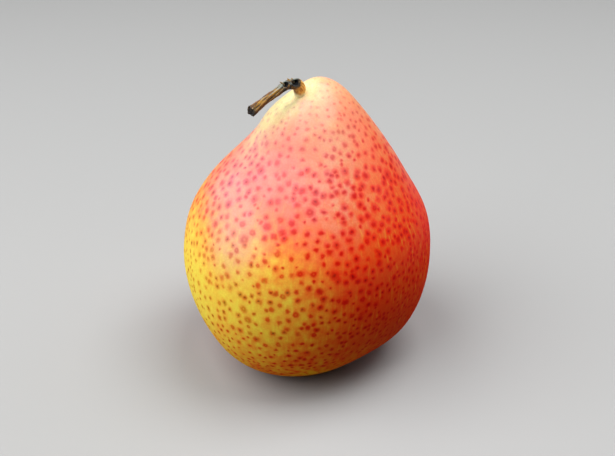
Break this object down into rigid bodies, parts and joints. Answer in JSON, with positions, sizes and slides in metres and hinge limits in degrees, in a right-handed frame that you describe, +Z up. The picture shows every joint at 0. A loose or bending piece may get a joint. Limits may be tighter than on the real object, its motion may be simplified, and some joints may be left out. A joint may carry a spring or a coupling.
{
  "type": "pear",
  "caption": "Small speckled pear standing upright, with a bent woody stem and a dried calyx in the basin under it.",
  "frame": {"origin": "on the surface that the pear rests on, under the middle of the fruit's width and depth", "axes": "+Z up through the fruit, from its flat foot to its crown; -Y is the pictured side; the stem's cut end points to -X and -Y"},
  "size_m": [0.0674, 0.0662, 0.0819],
  "materials": {
    "pear_skin": "satin",
    "stem_bark": "matte",
    "dry_calyx": "matte"
  },
  "bodies": {
    "root": {"fruit": "pear_skin", "stem": "stem_bark", "calyx": "dry_calyx"}
  },
  "joints": []
}
